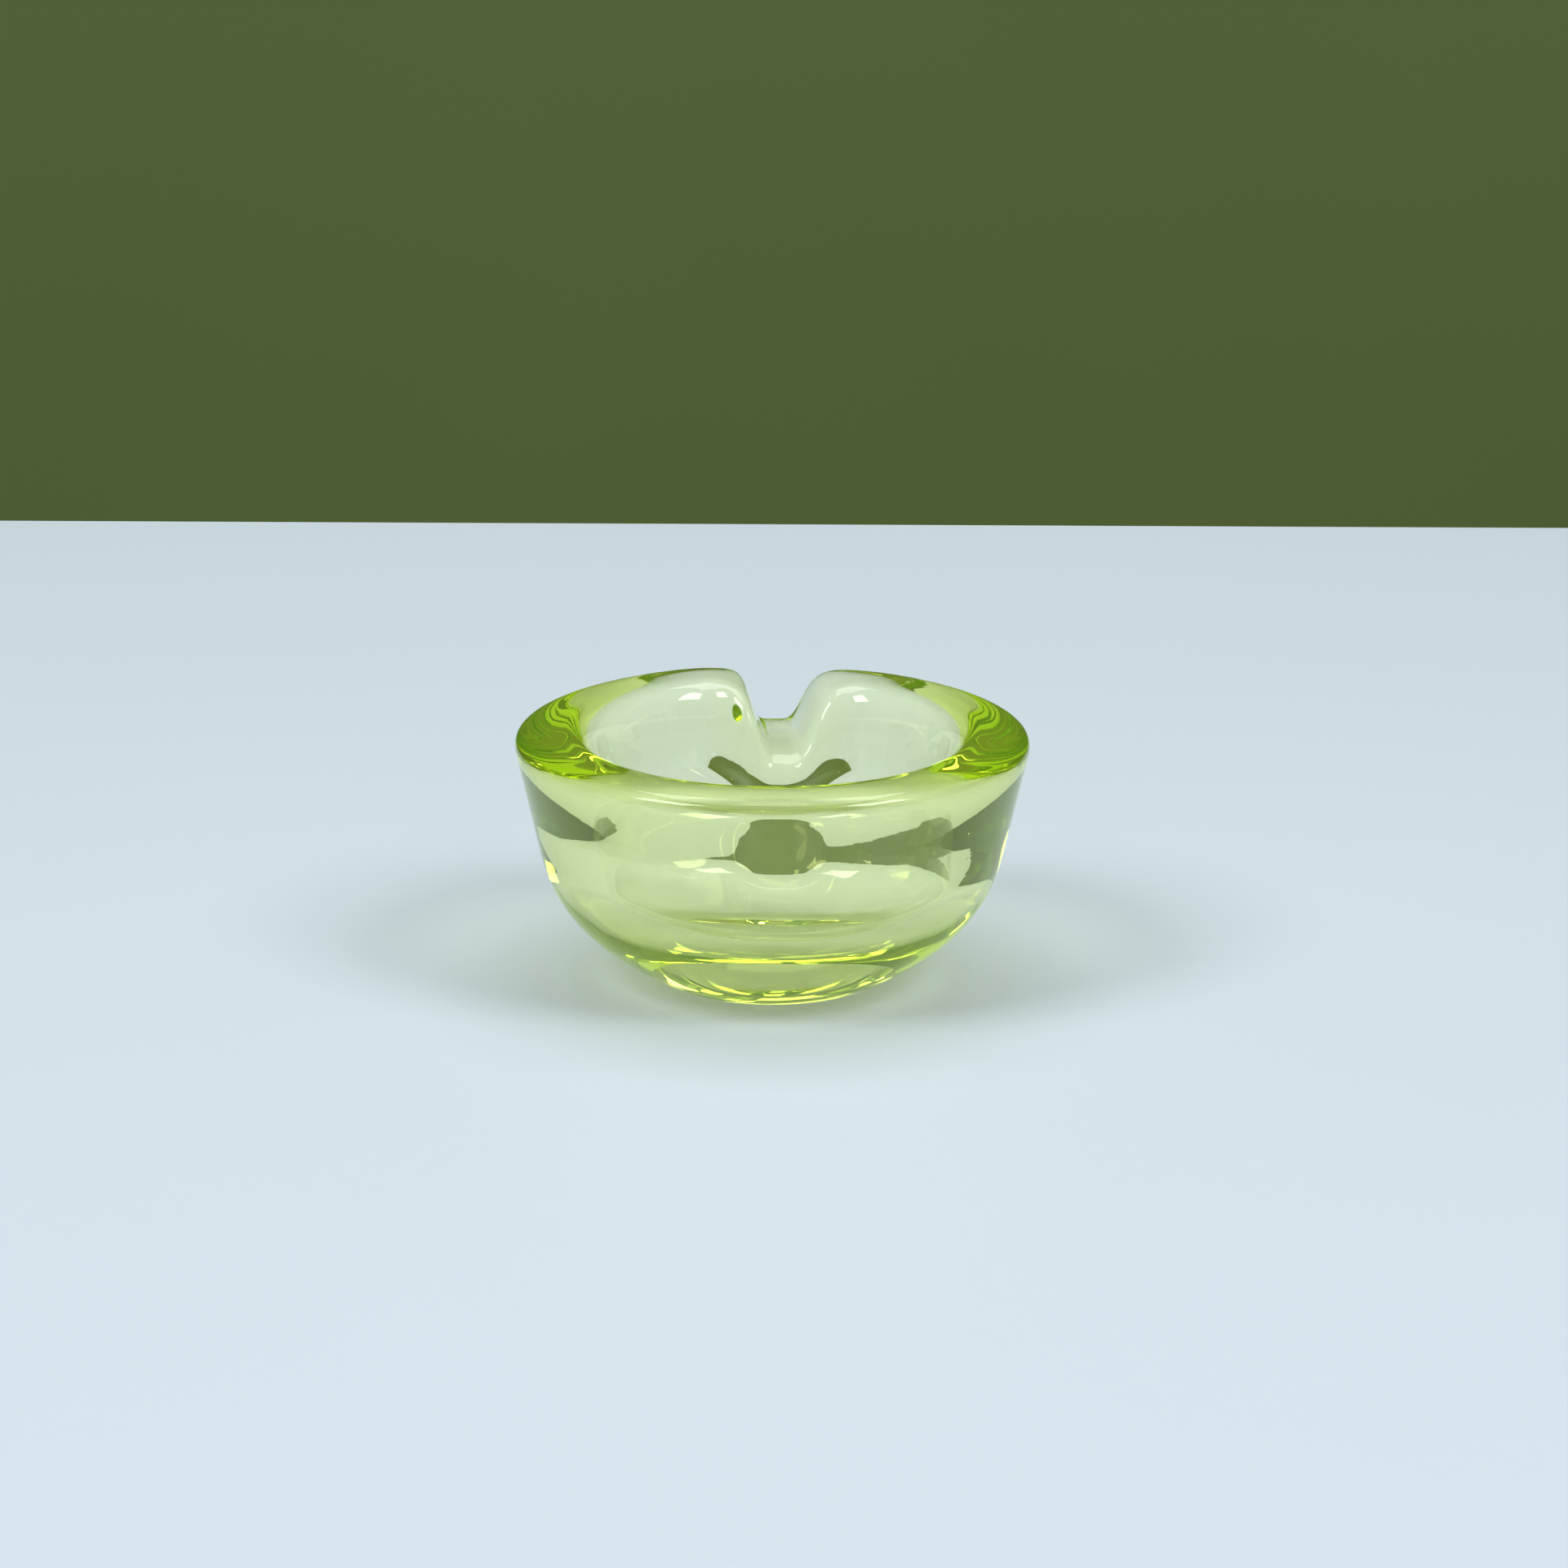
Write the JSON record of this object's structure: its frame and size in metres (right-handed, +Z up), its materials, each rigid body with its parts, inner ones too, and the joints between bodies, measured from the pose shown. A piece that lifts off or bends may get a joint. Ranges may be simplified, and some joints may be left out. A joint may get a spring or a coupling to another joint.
{
  "type": "uranium glass dish",
  "caption": "Thick-walled round bowl of yellow-green uranium glass with a rounded rim, a deep cavity and a single trough pressed across the rim as a rest.",
  "frame": {"origin": "centre of the flat foot, on the surface the dish stands on", "axes": "+Z up, +Y towards the pressed rest, +X to the right when the rest is at the far side"},
  "size_m": [0.1144, 0.1133, 0.0565],
  "materials": {
    "uranium_glass": "gloss"
  },
  "bodies": {
    "root": {"glass_dish": "uranium_glass"}
  },
  "joints": []
}
